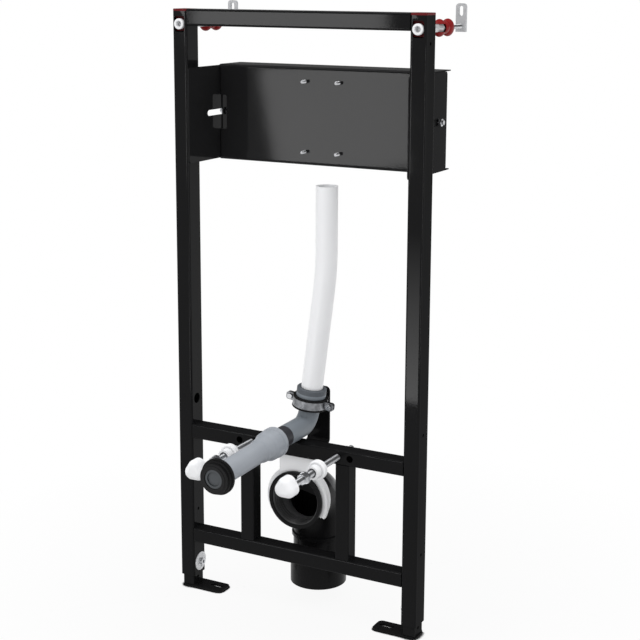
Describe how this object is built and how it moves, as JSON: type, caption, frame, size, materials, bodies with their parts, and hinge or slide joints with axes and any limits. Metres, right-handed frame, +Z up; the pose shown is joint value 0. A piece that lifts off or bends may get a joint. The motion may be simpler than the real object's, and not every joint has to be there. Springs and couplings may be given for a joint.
{
  "type": "wall hung toilet frame",
  "caption": "Open steel frame for a wall hung toilet, with sliding legs, wall anchors, bowl rods, a flush elbow and a waste elbow.",
  "frame": {"origin": "middle of the left wall bracket's back face, at the height of its anchor rod, on the wall's plane", "axes": "+X to the right, +Y to the back into the wall, +Z up"},
  "size_m": [0.5, 0.4599, 1.121],
  "materials": {
    "frame_black": "gloss black powder coat",
    "red_plastic": "moulded, gloss",
    "white_plastic": "moulded, gloss",
    "zinc_steel": "zinc plated",
    "grey_plastic": "moulded, satin",
    "light_grey_plastic": "moulded, satin",
    "dark_grey_plastic": "moulded, matt",
    "black_rubber": "matt",
    "black_plastic": "moulded, satin"
  },
  "bodies": {
    "frame": {"left_upright": "frame_black", "right_upright": "frame_black", "top_bar": "frame_black", "upper_crossbar": "frame_black", "lower_crossbar": "frame_black", "posts": "frame_black", "top_caps": "red_plastic", "anchor_bushings": "white_plastic", "anchor_guides": "red_plastic", "anchor_couplings": "zinc_steel", "left_anchor_clip": "red_plastic", "right_anchor_clip": "red_plastic", "anchor_rods": "zinc_steel", "left_wall_bracket": "zinc_steel", "right_wall_bracket": "zinc_steel", "side_plates": "frame_black", "valve_panel": "frame_black", "side_bolts": "zinc_steel", "panel_studs": "zinc_steel", "pipe_bracket": "frame_black", "flush_elbow": "grey_plastic", "socket_seal": "dark_grey_plastic", "clamp_liner": "black_rubber", "pipe_clamp": "zinc_steel", "clamp_screws": "zinc_steel", "clamp_stud": "zinc_steel", "flush_pipe": "white_plastic", "flush_spigot": "dark_grey_plastic", "flush_connector": "light_grey_plastic", "end_seal": "black_rubber", "flush_plug": "grey_plastic", "waste_elbow": "black_plastic", "waste_seal": "black_rubber", "waste_holder": "white_plastic", "bowl_rods": "zinc_steel", "crossbar_nuts": "zinc_steel", "rod_collars": "white_plastic", "rod_nuts": "zinc_steel", "rod_caps": "white_plastic", "clamp_discs": "zinc_steel", "leg_screws": "zinc_steel"},
    "left_extension": {"left_leg": "frame_black", "left_foot": "frame_black"},
    "right_extension": {"right_leg": "frame_black", "right_foot": "frame_black"}
  },
  "joints": [
    {"name": "left_leg_slide", "type": "slide", "parent": "frame", "child": "left_extension", "axis": [0, 0, -1], "range_m": [-0.015, 0.185]},
    {"name": "right_leg_slide", "type": "slide", "parent": "frame", "child": "right_extension", "axis": [0, 0, -1], "range_m": [-0.015, 0.185]}
  ]
}
